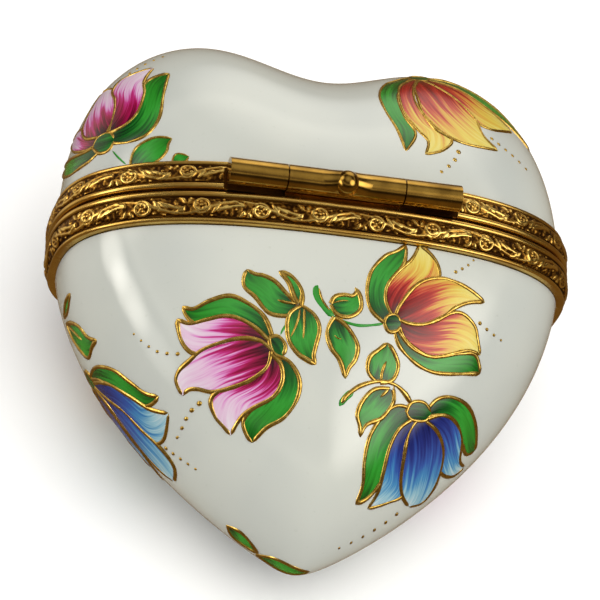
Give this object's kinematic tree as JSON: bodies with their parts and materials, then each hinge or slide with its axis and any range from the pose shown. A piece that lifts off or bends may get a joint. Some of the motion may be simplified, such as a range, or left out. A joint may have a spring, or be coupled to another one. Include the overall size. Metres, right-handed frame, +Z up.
{
  "type": "porcelain trinket box",
  "caption": "Heart-shaped porcelain trinket box with engraved brass rims, a knuckle hinge, a small clasp and hand-painted tulips; lies on a low oval foot.",
  "frame": {"origin": "centre of the foot's flat underside, on the table", "axes": "+X along the hinge, +Y from the heart's point towards its lobes, +Z up from the table"},
  "size_m": [0.056, 0.0565, 0.0367],
  "materials": {
    "glazed_porcelain": "clear glaze over white hard-paste porcelain, with painted enamel flowers",
    "setting_cement": "matt plaster cement",
    "engraved_brass": "cast foliage band, dark patina in the recesses, rubbed bright on top",
    "polished_brass": "polished, slightly tarnished"
  },
  "bodies": {
    "base": {"porcelain_base": "glazed_porcelain", "base_setting_cement": "setting_cement", "base_rim": "engraved_brass", "hinge_knuckle_center": "polished_brass", "hinge_bead": "polished_brass", "clasp_bead": "polished_brass"},
    "lid": {"porcelain_lid": "glazed_porcelain", "lid_setting_cement": "setting_cement", "lid_rim": "engraved_brass", "hinge_knuckle_left": "polished_brass", "hinge_knuckle_right": "polished_brass", "hinge_pin": "polished_brass", "clasp_tongue": "polished_brass"}
  },
  "joints": [
    {"name": "lid_hinge", "type": "hinge", "parent": "base", "child": "lid", "pos_m": [0, 0.00352, 0.03471], "axis": [1, 0, 0], "range_deg": [0, 100]}
  ]
}
